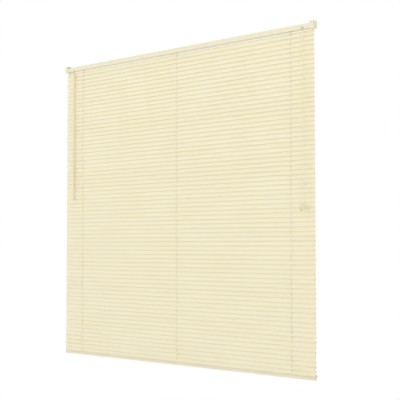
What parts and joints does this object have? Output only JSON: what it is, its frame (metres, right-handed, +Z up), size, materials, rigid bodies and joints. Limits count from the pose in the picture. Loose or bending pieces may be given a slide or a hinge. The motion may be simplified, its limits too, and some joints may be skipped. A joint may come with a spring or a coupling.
{
  "type": "venetian blind",
  "caption": "Lowered PVC venetian blind with closed cream slats, a folded headrail in box brackets, a tilt wand, pull cords with tassels and an oval bottom rail.",
  "frame": {"origin": "on the wall plane, midway between the four wall screw holes of the two brackets", "axes": "+X along the headrail to the cord side, +Y into the wall, +Z up; the room is on the -Y side"},
  "size_m": [1.612, 0.0336, 1.5068],
  "materials": {
    "slat_pvc": "satin cream PVC",
    "rail_paint": "satin cream paint",
    "moulded_cream": "satin moulded plastic",
    "wand_plastic": "gloss cream plastic",
    "nylon": "matt moulded nylon",
    "steel": "bright steel",
    "cord": "braided polyester"
  },
  "bodies": {
    "blind": {"headrail": "rail_paint", "headrail_cap_left": "moulded_cream", "headrail_cap_right": "moulded_cream", "bracket_left": "rail_paint", "bracket_right": "rail_paint", "bracket_pin_left": "steel", "bracket_pin_right": "steel", "tilter_housing": "nylon", "cradle_left": "nylon", "cradle_middle": "nylon", "cradle_right": "nylon", "cord_lock": "nylon", "slats": "slat_pvc", "ladder_left": "cord", "ladder_middle": "cord", "ladder_right": "cord", "lift_cord_left": "cord", "lift_cord_middle": "cord", "lift_cord_right": "cord", "pull_cord_left": "cord", "pull_cord_middle": "cord", "pull_cord_right": "cord"},
    "bottom": {"bottom_rail": "slat_pvc", "bottom_cap_left": "moulded_cream", "bottom_cap_right": "moulded_cream", "bottom_plug_left": "moulded_cream", "bottom_plug_middle": "moulded_cream", "bottom_plug_right": "moulded_cream"},
    "tassels": {"tassel_left": "moulded_cream", "tassel_middle": "moulded_cream", "tassel_right": "moulded_cream"},
    "tilt_shaft": {"tilt_rod": "steel", "ladder_drum_left": "nylon", "ladder_drum_middle": "nylon", "ladder_drum_right": "nylon", "tilter_gear": "nylon"},
    "worm": {"tilter_worm": "nylon"},
    "wand": {"wand": "wand_plastic", "wand_hook": "steel", "wand_sleeve": "wand_plastic", "wand_tip": "wand_plastic"},
    "cover_left": {"bracket_cover_left": "rail_paint"},
    "cover_right": {"bracket_cover_right": "rail_paint"},
    "lock_roller": {"cord_lock_roller": "steel"}
  },
  "joints": [
    {"name": "lift", "type": "slide", "parent": "blind", "child": "bottom", "axis": [0, 0, 1], "range_m": [0, 1.233], "deforming": ["slats", "ladder_left", "ladder_middle", "ladder_right", "lift_cord_left", "lift_cord_middle", "lift_cord_right"]},
    {"name": "pull", "type": "slide", "parent": "blind", "child": "tassels", "axis": [0, 0, -1], "range_m": [0, 1.233], "deforming": ["pull_cord_left", "pull_cord_middle", "pull_cord_right"]},
    {"name": "tilt", "type": "hinge", "parent": "blind", "child": "tilt_shaft", "pos_m": [0, -0.014, -0.0035], "axis": [-1, 0, 0], "range_deg": [0, 136]},
    {"name": "worm_turn", "type": "hinge", "parent": "blind", "child": "worm", "pos_m": [-0.737, -0.02034, -0.00119], "axis": [0, -0.342, -0.9397], "range_deg": [0, 1632]},
    {"name": "wand_turn", "type": "hinge", "parent": "blind", "child": "wand", "pos_m": [-0.737, -0.02787, -0.02186], "axis": [0, 0, -1], "range_deg": [0, 1632]},
    {"name": "cover_left_swing", "type": "hinge", "parent": "blind", "child": "cover_left", "pos_m": [-0.795, -0.0277, 0.0132], "axis": [-1, 0, 0], "range_deg": [0, 90]},
    {"name": "cover_right_swing", "type": "hinge", "parent": "blind", "child": "cover_right", "pos_m": [0.795, -0.0277, 0.0132], "axis": [-1, 0, 0], "range_deg": [0, 90]},
    {"name": "roller_slide", "type": "slide", "parent": "blind", "child": "lock_roller", "axis": [0, -0.8192, 0.5736], "range_m": [0, 0.0024]}
  ],
  "couplings": [
    {"joint": "pull", "follows": "lift", "ratio": 1},
    {"joint": "worm_turn", "follows": "wand_turn", "ratio": 1},
    {"joint": "tilt", "follows": "wand_turn", "ratio": 0.083333}
  ]
}
